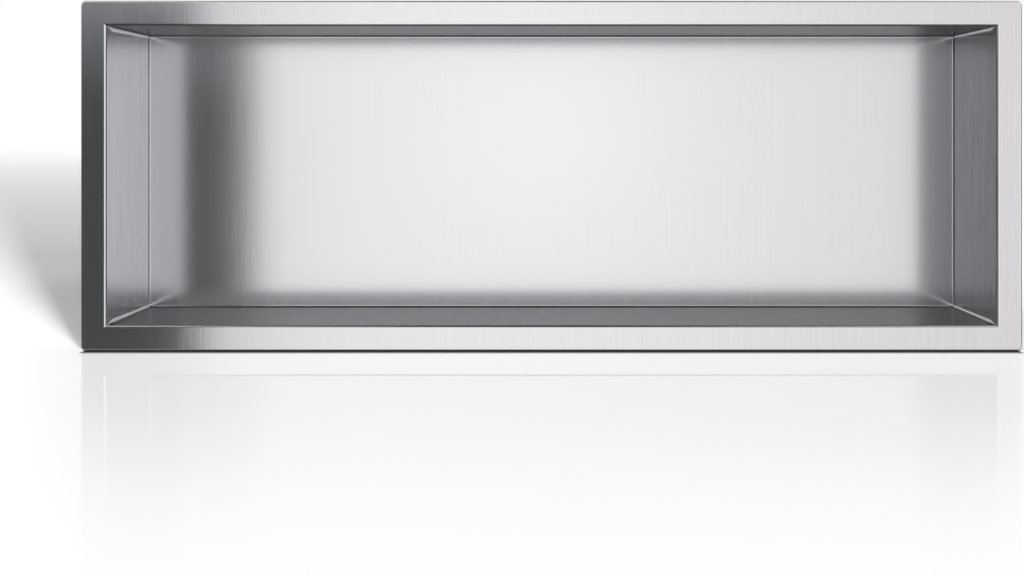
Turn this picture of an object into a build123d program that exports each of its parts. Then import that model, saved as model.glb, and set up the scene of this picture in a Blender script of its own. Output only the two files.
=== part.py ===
"""Recessed shower niche insert, folded from one thickness of stainless sheet and welded at its corners.

Millimetres, +Z up. The opening faces -Y. The origin is the centre of the opening on the finished wall,
the plane that the flange's turned-back edge bears on. The box runs into the wall along +Y.
"""

import os
from typing import Callable

from build123d import *

# Inside of the box: wall to wall, shelf to ceiling, flange face to back panel
opening_width = 904.0
opening_height = 304.0
inner_depth = 98.0

# Sheet and flange
sheet = 1.2
flange_width = 26.0
flange_corner_radius = 4.5
flange_stand_off = 4.0

# Bend radii, on the face that shows
edge_bend = 2.2
opening_bend = 2.8
back_bend = 1.6

# Weld fillets along the four inside corners, ground wider at the opening than at the back panel. They run
# out to a point just behind the opening bend
weld_front_radius = 5.0
weld_back_radius = 2.8
weld_start = 0.8
weld_run_out = 2.4

# Flange outline and levels along the depth
flange_outer_width = opening_width + 2 * flange_width
flange_outer_height = opening_height + 2 * flange_width
face_y = -flange_stand_off
mid_sheet_y = face_y + sheet / 2
flange_back_y = face_y + sheet
weld_tip_y = face_y + opening_bend + weld_start
weld_full_y = weld_tip_y + weld_run_out
back_y = face_y + inner_depth

# Section planes with the depth as their first axis, one across the height and one across the width
height_section = Plane.YZ
width_section = Plane(origin=(0, 0, 0), x_dir=(0, 1, 0), z_dir=(0, 0, -1))


def across(y: float) -> Plane:
    """The plane across the depth at y, facing out of the wall."""
    return Plane.XZ.offset(-y)


def mouth_section(plane: Plane, half: float, front: float, face: float, radius: float) -> Sketch:
    """Section of a mouth: walls at +-half flare by radius into the plane at face, up to front."""
    with BuildSketch(plane) as section:
        with BuildLine():
            rim = Line((front, 0), (front, half + radius))
            lead = Line(rim @ 1, (face, half + radius))
            bend = TangentArc(lead @ 1, (face + radius, half), tangent=(0, -1))
            Line(bend @ 1, (face + radius, 0))
            mirror(about=Plane.XZ)
        make_face()
    return section.sketch


def box_section(plane: Plane, half: float, front: float, back: float, radius: float) -> Sketch:
    """Section of a box: walls at +-half run from front and bend by radius into the panel at back."""
    with BuildSketch(plane) as section:
        with BuildLine():
            rim = Line((front, 0), (front, half))
            wall = Line(rim @ 1, (back - radius, half))
            bend = TangentArc(wall @ 1, (back, half - radius), tangent=wall % 1)
            Line(bend @ 1, (back, 0))
            mirror(about=Plane.XZ)
        make_face()
    return section.sketch


def crossed(section: Callable[..., Sketch], inset: float, *sizes: float) -> Part:
    """Cross one section over the height with the same one over the width, so that the bends meet in mitres."""
    over_height = section(height_section, opening_height / 2 + inset, *sizes)
    over_width = section(width_section, opening_width / 2 + inset, *sizes)
    with BuildPart() as block:
        extrude(over_height, amount=flange_outer_width / 2, both=True)
        extrude(over_width, amount=flange_outer_height / 2, both=True, mode=Mode.INTERSECT)
    return block.part


def weld_section(y: float, radius: float) -> Sketch:
    """Section of the weld fillet at y, in the upper right corner of the box."""
    with BuildSketch(across(y)) as section:
        with Locations((opening_width / 2, opening_height / 2)):
            Rectangle(radius, radius, align=Align.MAX)
        with Locations((opening_width / 2 - radius, opening_height / 2 - radius)):
            Circle(radius, mode=Mode.SUBTRACT)
    return section.sketch


# Weld fillets, drawn from their points to the back panel
with BuildPart() as welds:
    tip = Vertex(opening_width / 2, weld_tip_y, opening_height / 2)
    front = weld_section(weld_full_y, weld_front_radius)
    loft([tip, front, weld_section(back_y, weld_back_radius)], ruled=True)
    mirror(about=Plane.XY)
    mirror(about=Plane.YZ)

# Hollow of the box, open to the front
with BuildPart() as hollow:
    with BuildSketch(across(face_y)):
        Rectangle(opening_width, opening_height)
    extrude(amount=-inner_depth)
    add(welds.part, mode=Mode.SUBTRACT)
    fillet(hollow.faces().sort_by(Axis.Y)[-1].edges(), radius=back_bend)
    add(crossed(mouth_section, 0, face_y - sheet, face_y, opening_bend))

# Channel behind the flange, inside its turned-back edge
with BuildPart() as channel:
    with BuildSketch(across(0)):
        RectangleRounded(
            flange_outer_width - 2 * sheet,
            flange_outer_height - 2 * sheet,
            flange_corner_radius - sheet,
        )
    extrude(amount=flange_stand_off - sheet)
    fillet(channel.faces().sort_by(Axis.Y)[0].edges(), radius=edge_bend - sheet)

# The insert: flange with its edge turned back, then the box behind it, hollowed to the sheet
with BuildPart() as niche_body:
    with BuildSketch(across(face_y)):
        RectangleRounded(flange_outer_width, flange_outer_height, flange_corner_radius)
    extrude(amount=-flange_stand_off)
    fillet(niche_body.faces().sort_by(Axis.Y)[0].edges(), radius=edge_bend)
    add(channel.part, mode=Mode.SUBTRACT)
    add(crossed(mouth_section, sheet, mid_sheet_y, flange_back_y, opening_bend - sheet))
    add(crossed(box_section, sheet, mid_sheet_y, back_y + sheet, back_bend + sheet))
    add(hollow.part, mode=Mode.SUBTRACT)

niche_body.part.label = "niche_body"
os.makedirs("parts", exist_ok=True)
export_step(niche_body.part, "parts/niche_body.step")
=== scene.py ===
"""Dresses the shower niche insert: its folded steel body, the brushed finish and a plain white studio.

Metres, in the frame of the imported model: +X to the right, +Y into the wall, +Z up, and the opening faces -Y.
"""

import logging
from collections.abc import Iterator, Mapping
from dataclasses import dataclass
from enum import Enum
from math import cos, pi, radians, sin
from typing import Any

import bmesh
import bpy
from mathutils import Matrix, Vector


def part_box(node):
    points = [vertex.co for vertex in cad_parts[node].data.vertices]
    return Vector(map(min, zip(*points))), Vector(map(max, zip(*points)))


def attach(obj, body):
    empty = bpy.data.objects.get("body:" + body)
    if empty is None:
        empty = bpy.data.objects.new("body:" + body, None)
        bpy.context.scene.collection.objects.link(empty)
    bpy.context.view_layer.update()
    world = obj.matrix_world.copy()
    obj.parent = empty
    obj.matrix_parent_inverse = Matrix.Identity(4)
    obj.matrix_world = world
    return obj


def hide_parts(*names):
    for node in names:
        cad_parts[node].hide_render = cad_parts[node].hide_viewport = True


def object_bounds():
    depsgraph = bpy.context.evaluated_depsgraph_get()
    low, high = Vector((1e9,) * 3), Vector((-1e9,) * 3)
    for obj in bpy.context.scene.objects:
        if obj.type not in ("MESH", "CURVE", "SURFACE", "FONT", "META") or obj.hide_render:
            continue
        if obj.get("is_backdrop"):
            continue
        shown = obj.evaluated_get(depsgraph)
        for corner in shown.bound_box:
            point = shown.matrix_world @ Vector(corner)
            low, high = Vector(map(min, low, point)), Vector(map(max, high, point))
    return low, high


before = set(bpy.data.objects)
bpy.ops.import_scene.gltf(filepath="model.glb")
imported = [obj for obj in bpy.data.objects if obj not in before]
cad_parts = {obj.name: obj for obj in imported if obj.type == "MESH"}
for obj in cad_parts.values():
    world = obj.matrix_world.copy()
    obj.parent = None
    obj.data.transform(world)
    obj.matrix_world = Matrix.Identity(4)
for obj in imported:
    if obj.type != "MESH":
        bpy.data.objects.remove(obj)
cad_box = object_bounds()

log = logging.getLogger("shower_niche")
MM = 0.001
Colour = tuple[float, float, float, float]


class Ray(Enum):
    """What a material or the world can tell about a ray."""

    CAMERA = "Is Camera Ray"
    GLOSSY = "Is Glossy Ray"
    REFLECTIONS = "Glossy Depth"
    LENGTH = "Ray Length"


class Socket:
    """One output of a shader node. Arithmetic on it adds Math nodes."""

    def __init__(self, graph: "Graph", output: bpy.types.NodeSocket) -> None:
        """Keeps the output and the graph that it belongs to."""
        self.graph = graph
        self.output = output

    def __getitem__(self, name: str) -> "Socket":
        """Another output of the same node, by its name."""
        return Socket(self.graph, self.output.node.outputs[name])

    def _math(self, operation: str, *operands: "Socket | float") -> "Socket":
        """A Math node on these operands."""
        return self.graph.node("ShaderNodeMath", {"operation": operation}, dict(enumerate(operands)))

    def __add__(self, other: "Socket | float") -> "Socket":
        """self + other."""
        return self._math("ADD", self, other)

    def __radd__(self, other: float) -> "Socket":
        """other + self."""
        return self._math("ADD", other, self)

    def __sub__(self, other: "Socket | float") -> "Socket":
        """self - other."""
        return self._math("SUBTRACT", self, other)

    def __rsub__(self, other: float) -> "Socket":
        """other - self."""
        return self._math("SUBTRACT", other, self)

    def __mul__(self, other: "Socket | float") -> "Socket":
        """self * other."""
        return self._math("MULTIPLY", self, other)

    def __rmul__(self, other: float) -> "Socket":
        """other * self."""
        return self._math("MULTIPLY", other, self)

    def __pow__(self, other: float) -> "Socket":
        """self ** other."""
        return self._math("POWER", self, other)

    def __neg__(self) -> "Socket":
        """-self."""
        return self._math("MULTIPLY", self, -1.0)

    def __abs__(self) -> "Socket":
        """The size of self."""
        return self._math("ABSOLUTE", self)

    def bearing(self, ahead: "Socket") -> "Socket":
        """The angle of (ahead, self) from straight ahead, in radians."""
        return self._math("ARCTAN2", self, ahead)


class Graph:
    """A node tree that is built up from nothing."""

    def __init__(self, tree: bpy.types.NodeTree) -> None:
        """Empties the tree."""
        self.tree = tree
        tree.nodes.clear()

    def node(
        self,
        kind: str,
        settings: Mapping[str, Any] | None = None,
        sockets: Mapping[str | int, Any] | None = None,
        output: str | int = 0,
    ) -> Socket:
        """Adds one node.

        Args:
            kind: The node's type.
            settings: The node's own properties, set before its sockets.
            sockets: The value or the link of each input, by its name or number.
            output: The output that is wanted.

        Returns:
            The wrapped output, or the node's first input if it has no output.
        """
        made = self.tree.nodes.new(kind)
        for name, value in (settings or {}).items():
            setattr(made, name, value)
        for name, value in (sockets or {}).items():
            if isinstance(value, Socket):
                self.tree.links.new(value.output, made.inputs[name])
            else:
                made.inputs[name].default_value = value
        return Socket(self, made.outputs[output] if made.outputs else made.inputs[0])

    def ramp(self, value: Socket, start: float, end: float, low: float, high: float) -> Socket:
        """A smooth change of level along a value.

        Args:
            value: What the level depends on.
            start: The value at which the change begins.
            end: The value at which it is over.
            low: The level before start.
            high: The level after end.

        Returns:
            The level.
        """
        span = {"Value": value, "From Min": start, "From Max": end, "To Min": low, "To Max": high}
        return self.node("ShaderNodeMapRange", {"interpolation_type": "SMOOTHSTEP"}, span)

    def ray(self, fact: Ray) -> Socket:
        """A fact about the ray: 1 or 0 for its kind, the count of its reflections, or its length."""
        return self.node("ShaderNodeLightPath", output=fact.value)


@dataclass(frozen=True)
class BrushedSteel:
    """Satin stainless sheet, brushed along its height before it was folded.

    The grain runs upright on every face that stands, and along the depth on the shelf and the ceiling. The wide
    back panel is brushed finest, on the side that shows.
    """

    panel_depth: float
    panel_blend: float = 2 * MM
    shown_start: float = 0.0
    shown_end: float = -0.5
    lying_start: float = 0.6
    lying_end: float = 0.8
    colour: Colour = (0.837, 0.814, 0.848, 1.0)
    streak_colour: Colour = (0.777, 0.756, 0.786, 1.0)
    painted_side_reflection_tint: Colour = (0.96, 1.0, 0.982, 1.0)
    painted_lying_reflection_tint: Colour = (0.975, 1.0, 0.942, 1.0)
    grazing_tint: Colour = (0.268, 0.272, 0.287, 1.0)
    roughness: float = 0.213
    roughness_swing: float = 0.08
    coarse_share: float = 2.0
    colour_scratches: float = 0.5
    rough_scratches: float = 0.75
    grain_middle: float = 0.5
    grain_detail: float = 2.0
    grain_decay: float = 0.6
    anisotropy: float = 0.1
    scratch_width: float = 1.2 * MM
    scratch_length: float = 42 * MM
    streak_width: float = 3.5 * MM
    streak_length: float = 260 * MM
    scratch_depth: float = 0.012 * MM
    wall_stretch: float = 3.0

    def material(self, name: str) -> bpy.types.Material:
        """Builds the finish.

        Args:
            name: The material's name.

        Returns:
            The material.
        """
        material = bpy.data.materials.new(name)
        material.use_nodes = True
        graph = Graph(material.node_tree)
        place = graph.node("ShaderNodeTexCoord", output="Object")
        facing = graph.node("ShaderNodeNewGeometry", output="Normal")
        scratches = self._grain(graph, place, facing, self.scratch_width, self.scratch_length)
        streaks = self._grain(graph, place, facing, self.streak_width, self.streak_length)
        sideways = graph.node("ShaderNodeSeparateXYZ", sockets={0: facing}, output="X")
        inward = graph.node("ShaderNodeSeparateXYZ", sockets={0: place}, output="Y")
        on_panel = graph.ramp(inward, self.panel_depth - self.panel_blend, self.panel_depth, 0.0, 1.0)
        on_panel = on_panel * graph.ramp(sideways["Y"], self.shown_end, self.shown_start, 1.0, 0.0)
        coarse = self.coarse_share + (1 - self.coarse_share) * on_panel
        light = self._blend(scratches, streaks, self.colour_scratches)
        colour = graph.node(
            "ShaderNodeMix",
            {"data_type": "RGBA"},
            {0: self.grain_middle + coarse * light, 6: self.streak_colour, 7: self.colour},
            output=2,
        )
        # Painted reflection tint: faces that stand sideways and faces that lie get a slightly different hue and
        # level, standing in for the colour of what they reflect.
        for lean, tint in ((sideways, self.painted_side_reflection_tint), (sideways["Z"], self.painted_lying_reflection_tint)):
            colour = graph.node(
                "ShaderNodeMix",
                {"data_type": "RGBA", "blend_type": "MULTIPLY"},
                {0: abs(lean), 6: colour, 7: tint},
                output=2,
            )
        swing = self.roughness_swing * coarse * self._blend(scratches, streaks, self.rough_scratches)
        bump = graph.node(
            "ShaderNodeBump",
            sockets={"Strength": 1.0, "Distance": self.scratch_depth, "Height": scratches * coarse},
        )
        steel = graph.node(
            "ShaderNodeBsdfPrincipled",
            sockets={
                "Base Color": colour,
                "Metallic": 1.0,
                "Roughness": self.roughness + swing,
                "Anisotropic": self.anisotropy,
                "Specular Tint": self.grazing_tint,
                "Normal": bump,
            },
        )
        graph.node("ShaderNodeOutputMaterial", sockets={"Surface": steel})
        return material

    def _blend(self, scratches: Socket, streaks: Socket, share: float) -> Socket:
        """Scratches and streaks together, around 0, with this share of scratches."""
        return share * scratches + (1 - share) * streaks - self.grain_middle

    def _grain(self, graph: Graph, place: Socket, facing: Socket, width: float, length: float) -> Socket:
        """Fine lines along the brushing.

        Args:
            graph: The material's graph.
            place: The place on the surface.
            facing: The surface's normal.
            width: The width of a line.
            length: The length of a line.

        Returns:
            The lines' level, about 0 to 1.
        """
        across = 1 / width
        along = 1 / length
        on_wall = across / self.wall_stretch
        upright = graph.node(
            "ShaderNodeVectorMath", {"operation": "MULTIPLY"}, {0: place, 1: (across, on_wall, along)}
        )
        inward = graph.node(
            "ShaderNodeVectorMath", {"operation": "MULTIPLY"}, {0: place, 1: (across, along, across)}
        )
        lying = abs(graph.node("ShaderNodeSeparateXYZ", sockets={0: facing}, output="Z"))
        lie = graph.node(
            "ShaderNodeMix",
            {"data_type": "VECTOR"},
            {0: graph.ramp(lying, self.lying_start, self.lying_end, 0.0, 1.0), 4: upright, 5: inward},
            output=1,
        )
        return graph.node(
            "ShaderNodeTexNoise",
            sockets={"Vector": lie, "Scale": 1.0, "Detail": self.grain_detail, "Roughness": self.grain_decay},
        )


@dataclass(frozen=True)
class Ring:
    """One closed line round the box: its outset from the opening's walls, its depth and its corner radius."""

    outset: float
    depth: float
    corner: float


@dataclass
class FoldedShell:
    """A closed shell that is drawn out of one panel, ring after ring, and comes back to that panel's inside."""

    name: str
    half_width: float
    half_height: float
    corner_segments: int
    ring: Ring | None = None

    def start(self, ring: Ring) -> None:
        """Adds the panel that the shell grows from, with its corners cut round.

        Args:
            ring: The panel's outline.
        """
        bpy.ops.object.select_all(action="DESELECT")
        bpy.ops.mesh.primitive_plane_add(size=2, location=(0, ring.depth, 0), rotation=(-pi / 2, 0, 0))
        panel = bpy.context.object
        panel.name = self.name
        panel.scale = (self.half_width + ring.outset, self.half_height + ring.outset, 1)
        bpy.ops.object.transform_apply(location=True, rotation=True, scale=True)
        bpy.ops.object.mode_set(mode="EDIT")
        bpy.ops.mesh.select_mode(type="VERT")
        bpy.ops.mesh.select_all(action="SELECT")
        bpy.ops.mesh.bevel(offset=ring.corner, segments=self.corner_segments, affect="VERTICES")
        bpy.ops.mesh.select_all(action="SELECT")
        self.ring = ring

    def extend(self, ring: Ring) -> None:
        """Extrudes the selected panel to the next ring.

        Args:
            ring: Where the panel's outline goes.
        """
        step = (0, ring.depth - self.ring.depth, 0)
        bpy.ops.mesh.extrude_region_move(TRANSFORM_OT_translate={"value": step})
        if (ring.outset, ring.corner) != (self.ring.outset, self.ring.corner):
            outline = [vert.index for vert in self._verts() if vert.select]
            for side in (-1, 1):
                for rise in (-1, 1):
                    self._move_corner(outline, side, rise, ring)
            self._select(outline)
        self.ring = ring

    def _verts(self) -> bmesh.types.BMVertSeq:
        """Numbers the shell's vertices.

        Returns:
            The vertices.
        """
        verts = bmesh.from_edit_mesh(bpy.context.object.data).verts
        verts.index_update()
        verts.ensure_lookup_table()
        return verts

    def _select(self, chosen: list[int]) -> None:
        """Selects some vertices and the faces that they bound, and nothing else.

        Args:
            chosen: The numbers of the vertices.
        """
        bpy.ops.mesh.select_all(action="DESELECT")
        verts = self._verts()
        for index in chosen:
            verts[index].select = True
        bmesh.from_edit_mesh(bpy.context.object.data).select_flush(True)

    def _corner_centre(self, ring: Ring, side: int, rise: int) -> Vector:
        """The centre of a ring's corner arc."""
        inset = ring.outset - ring.corner
        return Vector((side * (self.half_width + inset), ring.depth, rise * (self.half_height + inset)))

    def _move_corner(self, outline: list[int], side: int, rise: int, ring: Ring) -> None:
        """Scales one corner of the outline to the new radius and moves it into place.

        Args:
            outline: The outline's vertices.
            side: -1 for the left corners, 1 for the right.
            rise: -1 for the lower corners, 1 for the upper.
            ring: Where the outline goes.
        """
        verts = self._verts()
        places = {index: verts[index].co for index in outline}
        self._select([i for i, place in places.items() if place.x * side > 0 and place.z * rise > 0])
        old = Ring(self.ring.outset, ring.depth, self.ring.corner)
        centre = self._corner_centre(old, side, rise)
        growth = ring.corner / old.corner
        bpy.ops.transform.resize(value=(growth, 1, growth), center_override=centre)
        bpy.ops.transform.translate(value=self._corner_centre(ring, side, rise) - centre)

    def close(self) -> bpy.types.Object:
        """Fills the panel that the shell grew from.

        Returns:
            The finished shell, in object mode.
        """
        bpy.ops.mesh.select_mode(type="EDGE")
        bpy.ops.mesh.select_all(action="DESELECT")
        bpy.ops.mesh.select_non_manifold(
            extend=False, use_wire=False, use_multi_face=False, use_non_contiguous=False, use_verts=False
        )
        bpy.ops.mesh.edge_face_add()
        bpy.ops.mesh.select_all(action="SELECT")
        bpy.ops.mesh.normals_make_consistent(inside=False)
        bpy.ops.object.mode_set(mode="OBJECT")
        return bpy.context.object


@dataclass
class NicheBody:
    """The folded and welded box with its flange: one thickness of sheet all over."""

    opening_width: float = 904 * MM
    opening_height: float = 304 * MM
    inner_depth: float = 98 * MM
    sheet: float = 1.2 * MM
    flange_width: float = 26 * MM
    flange_corner: float = 4.5 * MM
    stand_off: float = 4 * MM
    edge_bend: float = 2.2 * MM
    opening_bend: float = 2.8 * MM
    back_bend: float = 1.6 * MM
    weld_front_radius: float = 4.8 * MM
    weld_back_radius: float = 2.8 * MM
    weld_start: float = 0.2 * MM
    weld_run_out: float = 9 * MM
    sharp: float = 0.12 * MM
    bend_segments: int = 8
    corner_segments: int = 8
    crease_angle: float = radians(35)

    def build(self) -> bpy.types.Object:
        """Models the body in the place of its CAD solid.

        Returns:
            The body.
        """
        shell = FoldedShell(
            "niche_shell",
            self.opening_width / 2,
            self.opening_height / 2,
            self.corner_segments,
        )
        rings = self._rings()
        shell.start(next(rings))
        for ring in rings:
            shell.extend(ring)
        body = shell.close()
        bpy.ops.object.shade_smooth_by_angle(angle=self.crease_angle)
        weighting = body.modifiers.new("even_shading", "WEIGHTED_NORMAL")
        weighting.keep_sharp = True
        bpy.ops.object.modifier_apply(modifier=weighting.name)
        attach(body, "root")
        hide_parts("niche_body")
        return body

    def dress(self, body: bpy.types.Object, finish: BrushedSteel) -> None:
        """Gives the body its brushed finish."""
        body.data.materials.append(finish.material("brushed_stainless"))

    def _bend(
        self, outset: float, depth: float, radius: float, start: float, end: float, corner: float | None = None
    ) -> Iterator[Ring]:
        """The rings of one bend.

        Args:
            outset: The outset of the bend's centre.
            depth: The depth of the bend's centre.
            radius: The radius of this face of the bend.
            start: The angle at which it starts, in degrees from straight outwards to straight inwards.
            end: The angle at which it ends.
            corner: The corner radius at the bend's centre, or None for sharp mitres.

        Yields:
            The rings, both ends included.
        """
        for step in range(self.bend_segments + 1):
            angle = radians(start + (end - start) * step / self.bend_segments)
            reach = radius * cos(angle)
            rounding = self.sharp if corner is None else corner + reach
            yield Ring(outset + reach, depth + radius * sin(angle), rounding)

    def _rings(self) -> Iterator[Ring]:
        """The rings over the sheet, from the outside of the back panel round the flange to its inside.

        Yields:
            The rings in order.
        """
        face = -self.stand_off
        back_centre = face + self.inner_depth - self.back_bend
        edge_outset = self.flange_width - self.edge_bend
        edge_corner = self.flange_corner - self.edge_bend
        edge_depth = face + self.edge_bend
        bend_depth = face + self.opening_bend
        weld_depth = bend_depth + self.weld_start
        # Hidden side: back panel, walls, back of the flange, inside of its edge
        yield from self._bend(-self.back_bend, back_centre, self.back_bend + self.sheet, 90, 0)
        yield from self._bend(self.opening_bend, bend_depth, self.opening_bend - self.sheet, 180, 270)
        yield from self._bend(edge_outset, edge_depth, self.edge_bend - self.sheet, 270, 360, edge_corner)
        yield Ring(self.flange_width - self.sheet, 0, self.flange_corner - self.sheet)
        yield Ring(self.flange_width, 0, self.flange_corner)
        # Shown side: flange edge and face, opening bend, walls with their weld fillets, back panel
        yield from self._bend(edge_outset, edge_depth, self.edge_bend, 0, -90, edge_corner)
        yield from self._bend(self.opening_bend, bend_depth, self.opening_bend, 270, 180)
        yield Ring(0, weld_depth, self.sharp)
        yield Ring(0, weld_depth + self.weld_run_out, self.weld_front_radius)
        weld_corner = self.weld_back_radius - self.back_bend
        yield from self._bend(-self.back_bend, back_centre, self.back_bend, 0, 90, weld_corner)


@dataclass(frozen=True)
class WhiteFloor:
    """A wide, smooth white table top that the insert stands on. It fades into the white surroundings."""

    level: float
    contact_reach: float
    size: float = 60.0
    colour: Colour = (0.93, 0.93, 0.93, 1.0)
    painted_contact_shadow_colour: Colour = (0.03, 0.03, 0.03, 1.0)
    contact_place: float = -2 * MM
    contact_inner: float = 5 * MM
    contact_outer: float = 16 * MM
    contact_end: float = 4 * MM
    gloss: float = 0.33
    gloss_roughness: float = 0.03
    near_place: float = -100 * MM
    far_place: float = -540 * MM
    back_place: float = 60 * MM
    narrowing: float = 910 * MM
    side_start: float = radians(26.5)
    side_end: float = radians(32.5)
    steep_start: float = 1 - sin(radians(27.0))
    steep_end: float = 1 - sin(radians(42.0))
    fade_start: float = 4.0
    fade_end: float = 16.0

    def build(self) -> bpy.types.Object:
        """Lays the floor.

        Returns:
            The floor.
        """
        bpy.ops.object.select_all(action="DESELECT")
        bpy.ops.mesh.primitive_plane_add(size=self.size, location=(0, 0, self.level))
        floor = bpy.context.object
        floor.name = "white_floor"
        bpy.ops.object.transform_apply(location=True, rotation=False, scale=False)
        floor.data.materials.append(self._material())
        floor.visible_glossy = False
        floor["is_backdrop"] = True
        return floor

    def _material(self) -> bpy.types.Material:
        """White with a painted contact shadow along the insert's foot, polished just before it and plain further
        off.

        The polish shows only from low angles.

        Returns:
            The material.
        """
        material = bpy.data.materials.new("white_floor")
        material.use_nodes = True
        graph = Graph(material.node_tree)
        place = graph.node("ShaderNodeTexCoord", output="Object")
        right = graph.node("ShaderNodeSeparateXYZ", sockets={0: place}, output="X")
        inward = right["Y"]
        # Painted contact shadow: a dark band along the insert's foot stands in for the shade where it meets the
        # floor, and no polish shows in it.
        painted_contact_shadow = graph.ramp(abs(inward - self.contact_place), self.contact_inner, self.contact_outer, 1.0, 0.0)
        reach_end = self.contact_reach + self.contact_end
        painted_contact_shadow = painted_contact_shadow * graph.ramp(abs(right), self.contact_reach, reach_end, 1.0, 0.0)
        colour = graph.node(
            "ShaderNodeMix",
            {"data_type": "RGBA"},
            {0: painted_contact_shadow, 6: self.colour, 7: self.painted_contact_shadow_colour},
            output=2,
        )
        polish = graph.ramp(inward, self.far_place, self.near_place, 0.0, self.gloss)
        polish = polish * graph.ramp(inward, 0.0, self.back_place, 1.0, 0.0)
        side = abs(right).bearing(inward + self.narrowing)
        polish = polish * graph.ramp(side, self.side_start, self.side_end, 1.0, 0.0) * (1 - painted_contact_shadow)
        slant = graph.node("ShaderNodeLayerWeight", output="Facing")
        polish = polish * graph.ramp(slant, self.steep_end, self.steep_start, 0.0, 1.0)
        matt = graph.node("ShaderNodeBsdfDiffuse", sockets={"Color": colour})
        gloss = graph.node("ShaderNodeBsdfGlossy", sockets={"Roughness": self.gloss_roughness})
        surface = graph.node("ShaderNodeMixShader", sockets={0: polish, 1: matt, 2: gloss})
        surroundings = graph.node("ShaderNodeEmission", sockets={"Color": (1, 1, 1, 1), "Strength": 1.0})
        distance = graph.node("ShaderNodeVectorMath", {"operation": "LENGTH"}, {0: place}, output="Value")
        fade = graph.ramp(distance, self.fade_start, self.fade_end, 0.0, 1.0)
        blend = graph.node("ShaderNodeMixShader", sockets={0: fade, 1: surface, 2: surroundings})
        graph.node("ShaderNodeOutputMaterial", sockets={"Surface": blend})
        return material


@dataclass(frozen=True)
class DarkFlag:
    """A dark card that stands left of the insert and a little before it. Only reflections close by see it."""

    right: float = -412 * MM
    left: float = -900 * MM
    feather: float = 64 * MM
    front: float = -237 * MM
    turn: float = radians(5.9)
    bottom: float = -330 * MM
    top: float = 225 * MM
    colour: Colour = (0.92, 1.0, 1.02, 1.0)
    glow: float = 0.07
    top_glow: float = 0.18
    glow_start: float = 70 * MM
    glow_end: float = 210 * MM
    second_share: float = 0.4
    reach_start: float = 400 * MM
    reach_end: float = 480 * MM

    def build(self) -> bpy.types.Object:
        """Stands the card up.

        Returns:
            The card.
        """
        width = self.right - self.left
        bpy.ops.object.select_all(action="DESELECT")
        bpy.ops.mesh.primitive_plane_add(
            size=1,
            location=(
                self.right - width / 2,
                self.front - width / 2 * sin(self.turn),
                (self.bottom + self.top) / 2,
            ),
            rotation=(pi / 2, 0, self.turn),
        )
        card = bpy.context.object
        card.name = "dark_flag"
        card.scale = (width, self.top - self.bottom, 1)
        bpy.ops.object.transform_apply(location=True, rotation=True, scale=True)
        card.data.materials.append(self._material())
        card.visible_camera = False
        card.visible_diffuse = False
        card.visible_shadow = False
        card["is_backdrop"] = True
        return card

    def _material(self) -> bpy.types.Material:
        """Nearly black, a little lighter towards the top, with a feathered edge on the right.

        It is thinner in second reflections, and reflections from further off don't show it.

        Returns:
            The material.
        """
        material = bpy.data.materials.new("dark_flag")
        material.use_nodes = True
        graph = Graph(material.node_tree)
        place = graph.node("ShaderNodeTexCoord", output="Object")
        across = graph.node("ShaderNodeSeparateXYZ", sockets={0: place}, output="X")
        glow = graph.ramp(across["Z"], self.glow_start, self.glow_end, self.glow, self.top_glow)
        card = graph.node("ShaderNodeEmission", sockets={"Color": self.colour, "Strength": glow})
        clear = graph.node("ShaderNodeBsdfTransparent")
        solid = graph.ramp(across, self.right - self.feather, self.right, 1.0, 0.0)
        solid = solid * graph.ramp(graph.ray(Ray.REFLECTIONS), 1.0, 2.0, 1.0, self.second_share)
        solid = solid * graph.ramp(graph.ray(Ray.LENGTH), self.reach_start, self.reach_end, 1.0, 0.0)
        edged = graph.node("ShaderNodeMixShader", sockets={0: solid, 1: clear, 2: card})
        graph.node("ShaderNodeOutputMaterial", sockets={"Surface": edged})
        return material


@dataclass(frozen=True)
class Lamp:
    """One distant lamp: its bearing to the right, height and softness in degrees, and its light on the floor."""

    bearing: float
    height: float
    softness: float
    share: float

    def build(self, name: str) -> None:
        """Adds the lamp, where reflections don't show it.

        Args:
            name: The lamp's name.
        """
        bpy.ops.object.select_all(action="DESELECT")
        bpy.ops.object.light_add(type="SUN")
        lamp = bpy.context.object
        lamp.name = name
        lamp.data.energy = pi * self.share / sin(radians(self.height))
        lamp.data.angle = radians(self.softness)
        lamp.rotation_euler = (radians(90 - self.height), 0, radians(self.bearing))
        lamp.visible_glossy = False


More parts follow.
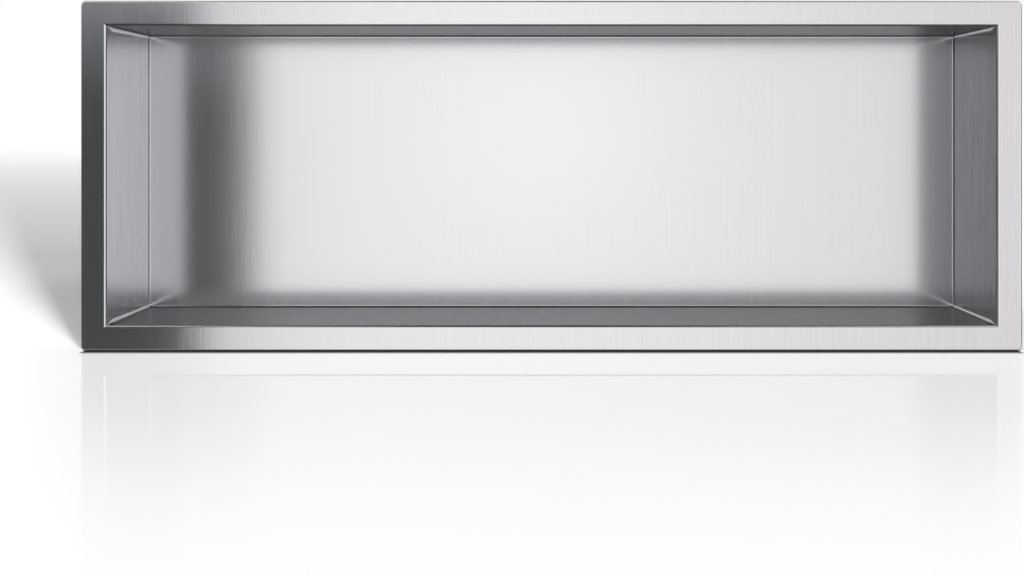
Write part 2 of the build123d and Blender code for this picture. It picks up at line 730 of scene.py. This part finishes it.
@dataclass(frozen=True)
class StudioLight:
    """Soft light from wide white panels before and behind the insert, low ones at its sides and a dome above.

    The panels are painted on the world, where only reflections see them. The front panel has a bright middle, a
    strip of light on its right and a dark flag on its left. Diffuse surfaces get an even light, a fill lamp and
    a tall key light, a stack of lamps that casts the shadow on the floor.
    """

    front_level: float = 1.015
    front_falloff: float = 1.2
    front_tilt: float = 0.2
    high_tilt: float = 0.45
    high_start: float = sin(radians(8.5))
    high_end: float = sin(radians(13.0))
    front_start: float = cos(radians(48.0))
    front_end: float = cos(radians(58.0))
    spot_level: float = 0.16
    spot_sharpness: float = 150.0
    gap_level: float = 0.03
    front_top_start: float = sin(radians(24.0))
    front_top_end: float = sin(radians(36.0))
    side_level: float = 0.8
    side_sharpness: float = 12.0
    side_start: float = sin(radians(-10.0))
    side_end: float = sin(radians(-18.0))
    dome_level: float = 0.9
    dome_start: float = sin(radians(6.0))
    dome_end: float = sin(radians(11.0))
    dome_inner: float = radians(36.0)
    dome_outer: float = radians(56.0)
    rear_inner: float = 0.0
    rear_outer: float = 0.3
    rear_low: float = 0.5
    rear_high: float = 0.95
    rear_start: float = sin(radians(-24.0))
    rear_end: float = sin(radians(24.0))
    strip_level: float = 0.8
    strip_bearing: float = radians(48.0)
    strip_inner: float = radians(8.0)
    strip_outer: float = radians(14.0)
    low_start: float = sin(radians(-26.0))
    low_end: float = sin(radians(-42.0))
    low_share: float = 0.45
    flag_left: float = radians(-54.0)
    flag_left_full: float = radians(-33.0)
    flag_right_full: float = radians(-23.2)
    flag_right: float = radians(-21.7)
    flag_top_start: float = sin(radians(10.0))
    flag_top_end: float = sin(radians(18.0))
    flag_bottom_start: float = sin(radians(-15.0))
    flag_bottom_end: float = sin(radians(-23.0))
    flag_depth: float = 0.945
    even_level: float = 0.10
    fill: Lamp = Lamp(-50.0, 50.0, 40.0, 0.34)
    key: tuple[Lamp, ...] = (
        Lamp(33.5, 1.5, 2.0, 0.095),
        Lamp(35.5, 3.3, 2.5, 0.14),
        Lamp(38.5, 5.7, 3.0, 0.105),
        Lamp(36.0, 10.0, 6.0, 0.095),
        Lamp(38.0, 18.0, 10.0, 0.09),
        Lamp(37.0, 36.0, 14.0, 0.11),
    )

    def build(self) -> None:
        """Sets the world and the lamps."""
        world = bpy.data.worlds.new("white_studio")
        world.use_nodes = True
        world.cycles.sampling_method = "NONE"
        bpy.context.scene.world = world
        graph = Graph(world.node_tree)
        camera = graph.ray(Ray.CAMERA)
        glossy = graph.ray(Ray.GLOSSY)
        seen = glossy * self._panels(graph) + (1 - glossy) * self.even_level
        background = graph.node(
            "ShaderNodeBackground",
            sockets={"Color": (1, 1, 1, 1), "Strength": camera + (1 - camera) * seen},
        )
        graph.node("ShaderNodeOutputWorld", sockets={"Surface": background})
        self.fill.build("fill_lamp")
        for lamp in self.key:
            lamp.build("key_lamp")

    def _panels(self, graph: Graph) -> Socket:
        """The brightness that reflections see all round.

        Args:
            graph: The world's graph.

        Returns:
            The brightness, 1 for white.
        """
        direction = graph.node("ShaderNodeTexCoord", output="Generated")
        right = graph.node("ShaderNodeSeparateXYZ", sockets={0: direction}, output="X")
        up = right["Z"]
        bearing = right.bearing(-right["Y"])
        side = graph.ramp(up, self.side_end, self.side_start, self.side_level, 0.0)
        panels = self.gap_level + self._front_and_rear(graph, right) + side * abs(right) ** self.side_sharpness
        dome = graph.ramp(up, self.dome_start, self.dome_end, 0.0, 1.0)
        dome = dome * graph.ramp(abs(bearing), self.dome_inner, self.dome_outer, 0.0, 1.0)
        panels = panels * (1 - dome) + self.dome_level * dome
        off_strip = abs(bearing - self.strip_bearing)
        strip = graph.ramp(off_strip, self.strip_inner, self.strip_outer, self.strip_level, 0.0)
        return (panels + strip * (1 - abs(up))) * (1 - self._flag(graph, bearing, up))

    def _front_and_rear(self, graph: Graph, right: Socket) -> Socket:
        """The brightness of the front and the rear panel.

        Args:
            graph: The world's graph.
            right: How far to the right the ray goes, from the node that gives its other parts too.

        Returns:
            The brightness, less towards the floor.
        """
        inward = right["Y"]
        up = right["Z"]
        facing = abs(inward)
        tilt = graph.ramp(up, self.high_start, self.high_end, self.front_tilt, self.high_tilt)
        level = (self.front_level - tilt * right) * facing ** self.front_falloff
        level = level * graph.ramp(facing, self.front_end, self.front_start, 0.0, 1.0)
        level = level * graph.ramp(up, self.front_top_start, self.front_top_end, 1.0, 0.0)
        rear = graph.ramp(up, self.rear_start, self.rear_end, self.rear_low, self.rear_high)
        level = level * (1 - graph.ramp(inward, self.rear_inner, self.rear_outer, 0.0, 1.0) * (1 - rear))
        level = level + self.spot_level * facing ** self.spot_sharpness
        return level * graph.ramp(up, self.low_end, self.low_start, self.low_share, 1.0)

    def _flag(self, graph: Graph, bearing: Socket, up: Socket) -> Socket:
        """How much light the dark flag takes away.

        Args:
            graph: The world's graph.
            bearing: The ray's angle to the right of straight ahead.
            up: How far up the ray goes.

        Returns:
            The share that is taken away.
        """
        flag = graph.ramp(bearing, self.flag_left, self.flag_left_full, 0.0, self.flag_depth)
        flag = flag * graph.ramp(bearing, self.flag_right_full, self.flag_right, 1.0, 0.0)
        flag = flag * graph.ramp(up, self.flag_top_start, self.flag_top_end, 1.0, 0.0)
        return flag * graph.ramp(up, self.flag_bottom_end, self.flag_bottom_start, 0.0, 1.0)


@dataclass(frozen=True)
class PhotoCamera:
    """A level camera straight before the insert, set to the photo's perspective and framing."""

    image_width: int = 1024
    image_height: int = 576
    focal_px: float = 892.0
    principal_px: tuple[float, float] = (549.5, 131.0)
    sensor: float = 36.0
    place: tuple[float, float, float] = (-2.1 * MM, -909 * MM, 45.4 * MM)

    def build(self) -> bpy.types.Object:
        """Adds the camera and makes it the scene's own.

        Returns:
            The camera.
        """
        bpy.ops.object.select_all(action="DESELECT")
        bpy.ops.object.camera_add(location=self.place, rotation=(pi / 2, 0, 0))
        camera = bpy.context.object
        camera.name = "photo_camera"
        camera.data.sensor_width = self.sensor
        camera.data.lens = self.sensor * self.focal_px / self.image_width
        camera.data.shift_x = (self.image_width / 2 - self.principal_px[0]) / self.image_width
        camera.data.shift_y = (self.principal_px[1] - self.image_height / 2) / self.image_width
        bpy.context.scene.camera = camera
        return camera


def main() -> None:
    """Builds the insert and its studio."""
    logging.basicConfig(level=logging.INFO, format="%(name)s: %(message)s")
    bpy.context.scene.view_settings.view_transform = "Standard"
    niche = NicheBody()
    body = niche.build()
    steel = BrushedSteel(panel_depth=niche.inner_depth - niche.stand_off)
    niche.dress(body, steel)
    log.info("%s: %d faces, replaces niche_body", body.name, len(body.data.polygons))
    lowest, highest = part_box("niche_body")
    floor = WhiteFloor(level=lowest[2], contact_reach=highest[0] - niche.flange_corner).build()
    log.info("%s: stage", floor.name)
    flag = DarkFlag().build()
    log.info("%s: stage", flag.name)
    StudioLight().build()
    log.info("studio light set")
    camera = PhotoCamera().build()
    log.info("%s: lens %.1f mm", camera.name, camera.data.lens)
    boxes = {"cad": [list(corner) for corner in cad_box], "visual": [list(corner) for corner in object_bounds()]}
    log.info("model box %s", boxes["visual"])


if __name__ == "__main__":
    main()
